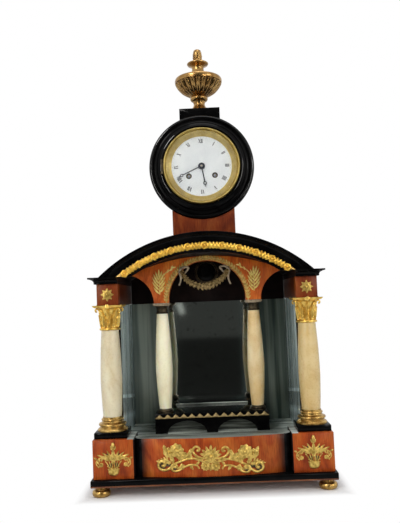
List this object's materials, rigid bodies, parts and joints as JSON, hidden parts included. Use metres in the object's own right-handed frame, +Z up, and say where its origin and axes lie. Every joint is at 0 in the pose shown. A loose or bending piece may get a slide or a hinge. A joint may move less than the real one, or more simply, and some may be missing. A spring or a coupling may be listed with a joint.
{
  "type": "portico table clock",
  "caption": "Tall table clock: an arched, mirrored portico with stone columns on a bow-fronted base, below a round drum with a Roman dial and an urn.",
  "frame": {"origin": "middle of the footprint, on the plane the feet stand on", "axes": "+Z up, -Y towards the viewer of the dial, +X to that viewer's right"},
  "size_m": [0.336, 0.182, 0.6555],
  "materials": {
    "mahogany": "polished figured veneer",
    "ebonised": "polished black",
    "gilt_wood": "carved and gilded",
    "antique_gilt": "carved, gilded and darkened",
    "alabaster": "polished, slightly translucent",
    "mirror": "aged silvered glass",
    "dark_bronze": "dark patina",
    "gilt_brass": "gilded, matt",
    "clock_glass": "clear domed",
    "enamel": "white vitreous enamel",
    "blued_steel": "dark blued",
    "movement_brass": "polished",
    "movement_steel": "polished"
  },
  "bodies": {
    "case": {"pedestal_left": "mahogany", "pedestal_right": "mahogany", "bow_front": "mahogany", "frieze_left": "mahogany", "frieze_right": "mahogany", "side_wall_left": "mahogany", "side_wall_right": "mahogany", "tympanum": "mahogany", "neck_case": "mahogany", "plinth_board": "ebonised", "column_slab_left": "ebonised", "column_slab_right": "ebonised", "cornice_left": "ebonised", "cornice_right": "ebonised", "back_wall": "ebonised", "arch_cornice": "ebonised", "vault_roof": "ebonised", "bridge_stand": "ebonised", "drum_case": "ebonised", "urn_block": "ebonised", "foot_front_left": "gilt_wood", "foot_front_right": "gilt_wood", "foot_rear_left": "gilt_wood", "foot_rear_right": "gilt_wood", "column_base_left": "gilt_wood", "column_base_right": "gilt_wood", "capital_left": "gilt_wood", "capital_right": "gilt_wood", "arch_gilt_band": "gilt_wood", "urn": "antique_gilt", "column_shaft_left": "alabaster", "column_shaft_right": "alabaster", "inner_column_left": "alabaster", "inner_column_right": "alabaster", "side_mirror_left": "mirror", "side_mirror_right": "mirror", "back_mirror": "mirror", "niche_floor": "mirror", "inner_capital_left": "dark_bronze", "inner_capital_right": "dark_bronze", "dial": "enamel", "front_plate": "movement_brass", "back_plate": "movement_brass", "bell": "movement_brass"},
    "bezel": {"bezel": "gilt_brass", "bezel_glass": "clock_glass"},
    "rear_door": {"drum_rear_door": "ebonised"},
    "minute_hand": {"minute_hand": "blued_steel", "cannon_pinion": "movement_steel"},
    "hour_hand": {"hour_hand": "blued_steel", "hour_wheel": "movement_brass"},
    "minute_wheel": {"minute_wheel": "movement_brass"},
    "going_barrel": {"going_barrel": "movement_brass"},
    "strike_barrel": {"strike_barrel": "movement_brass"},
    "centre_wheel": {"centre_wheel": "movement_brass"},
    "third_wheel": {"third_wheel": "movement_brass"},
    "escape_wheel": {"escape_wheel": "movement_brass"},
    "pendulum": {"pendulum": "dark_bronze", "anchor": "movement_steel"},
    "hammer": {"strike_hammer": "movement_steel"}
  },
  "joints": [
    {"name": "bezel_hinge", "type": "hinge", "parent": "case", "child": "bezel", "pos_m": [-0.0583, -0.0482, 0.4595], "axis": [0, 0, -1], "range_deg": [0, 110]},
    {"name": "rear_door_hinge", "type": "hinge", "parent": "case", "child": "rear_door", "pos_m": [0.0685, 0.0602, 0.4595], "axis": [0, 0, -1], "range_deg": [0, 110]},
    {"name": "minute_hand_turn", "type": "hinge", "parent": "case", "child": "minute_hand", "pos_m": [0, -0.04, 0.4595], "axis": [0, 1, 0], "continuous": true},
    {"name": "hour_hand_turn", "type": "hinge", "parent": "case", "child": "hour_hand", "pos_m": [0, -0.04, 0.4595], "axis": [0, 1, 0], "continuous": true},
    {"name": "minute_wheel_turn", "type": "hinge", "parent": "case", "child": "minute_wheel", "pos_m": [0, -0.032, 0.4739], "axis": [0, 1, 0], "continuous": true},
    {"name": "third_wheel_turn", "type": "hinge", "parent": "case", "child": "third_wheel", "pos_m": [0.01237, 0, 0.47187], "axis": [0, 1, 0], "continuous": true},
    {"name": "centre_wheel_turn", "type": "hinge", "parent": "case", "child": "centre_wheel", "pos_m": [0, 0, 0.4595], "axis": [0, 1, 0], "continuous": true},
    {"name": "going_barrel_turn", "type": "hinge", "parent": "case", "child": "going_barrel", "pos_m": [0.0192, -0.01, 0.4455], "axis": [0, 1, 0], "continuous": true},
    {"name": "escape_wheel_turn", "type": "hinge", "parent": "case", "child": "escape_wheel", "pos_m": [0, 0, 0.47812], "axis": [0, 1, 0], "continuous": true},
    {"name": "strike_barrel_turn", "type": "hinge", "parent": "case", "child": "strike_barrel", "pos_m": [-0.0192, -0.01, 0.4455], "axis": [0, 1, 0], "continuous": true},
    {"name": "pendulum_swing", "type": "hinge", "parent": "case", "child": "pendulum", "pos_m": [0, 0.0263, 0.48852], "axis": [0, 1, 0], "range_deg": [-3, 3]},
    {"name": "hammer_lift", "type": "hinge", "parent": "case", "child": "hammer", "pos_m": [-0.0174, 0.03, 0.4195], "axis": [0, -1, 0], "range_deg": [0, 8]}
  ],
  "couplings": [
    {"joint": "hour_hand_turn", "follows": "minute_hand_turn", "ratio": 0.083333},
    {"joint": "minute_wheel_turn", "follows": "minute_hand_turn", "ratio": -0.33333},
    {"joint": "centre_wheel_turn", "follows": "third_wheel_turn", "ratio": -0.1},
    {"joint": "going_barrel_turn", "follows": "third_wheel_turn", "ratio": 0.01},
    {"joint": "escape_wheel_turn", "follows": "third_wheel_turn", "ratio": -10}
  ]
}
